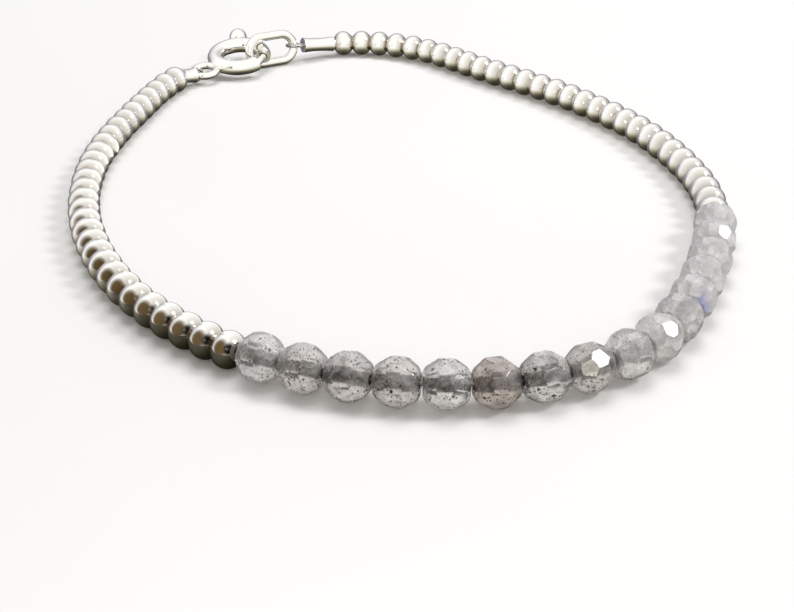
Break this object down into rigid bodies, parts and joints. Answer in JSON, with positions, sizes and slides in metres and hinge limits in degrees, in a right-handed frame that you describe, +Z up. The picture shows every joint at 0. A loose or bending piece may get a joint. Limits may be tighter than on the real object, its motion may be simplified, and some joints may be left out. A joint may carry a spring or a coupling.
{
  "type": "beaded bracelet",
  "caption": "Strung bracelet of faceted grey stones and small polished silver beads on a beading wire, lying as a closed loop and fastened by a sprung bolt ring clasp.",
  "frame": {"origin": "on the surface that the bracelet lies on, under the middle of its box", "axes": "+Y from the front stones towards the clasp, along the loop's longer way, +Z up from the surface, +X to the side where the stones meet the right-hand silver beads"},
  "size_m": [0.0518, 0.0686, 0.0035],
  "materials": {
    "silver": "polished sterling silver",
    "stone": "faceted, polished, cloudy grey",
    "wire": "clear-coated stranded beading wire"
  },
  "bodies": {
    "bracelet": {"right_bead_string": "silver", "left_bead_string": "silver", "stone_01": "stone", "stone_02": "stone", "stone_03": "stone", "stone_04": "stone", "stone_05": "stone", "stone_06": "stone", "stone_07": "stone", "stone_08": "stone", "stone_09": "stone", "stone_10": "stone", "stone_11": "stone", "stone_12": "stone", "stone_13": "stone", "stone_14": "stone", "stone_15": "stone", "stone_16": "stone", "clasp_ring": "silver", "closed_ring": "silver", "right_crimp": "silver", "left_crimp": "silver", "stringing_wire": "wire"},
    "trigger": {"clasp_bolt": "silver"}
  },
  "joints": [
    {"name": "trigger_slide", "type": "hinge", "parent": "bracelet", "child": "trigger", "pos_m": [-0.01525, 0.02824, 0.0016], "axis": [-0.0088, -0.1591, 0.9872], "range_deg": [0, 45], "stiffness_Nm_per_rad": 0.003, "springref_deg": -17.19}
  ]
}
